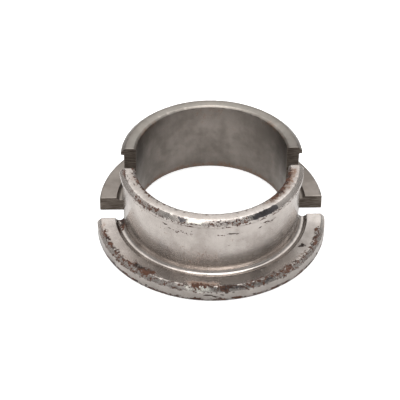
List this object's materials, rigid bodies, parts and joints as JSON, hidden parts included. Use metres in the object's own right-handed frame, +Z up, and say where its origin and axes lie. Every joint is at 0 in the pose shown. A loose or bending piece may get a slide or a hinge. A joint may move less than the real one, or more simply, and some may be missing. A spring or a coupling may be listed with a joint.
{
  "type": "split flanged bush",
  "caption": "Flanged steel bush cut lengthways into halves, with a retaining lip round the rim and a relief groove where the sleeve meets the flange.",
  "frame": {"origin": "on the floor under the flanges, at the middle of the space that the two halves take up", "axes": "+Z up along the bore axes, from the flange to the lip; +Y from the front half to the rear half"},
  "size_m": [0.0911, 0.0995, 0.0309],
  "materials": {
    "front_half_steel": "turned steel, fairly bright, with rust along the edges and small pits",
    "rear_half_steel": "matte grey oxidised steel with faint brown smudges"
  },
  "bodies": {
    "root": {"front_half": "front_half_steel", "rear_half": "rear_half_steel"}
  },
  "joints": []
}
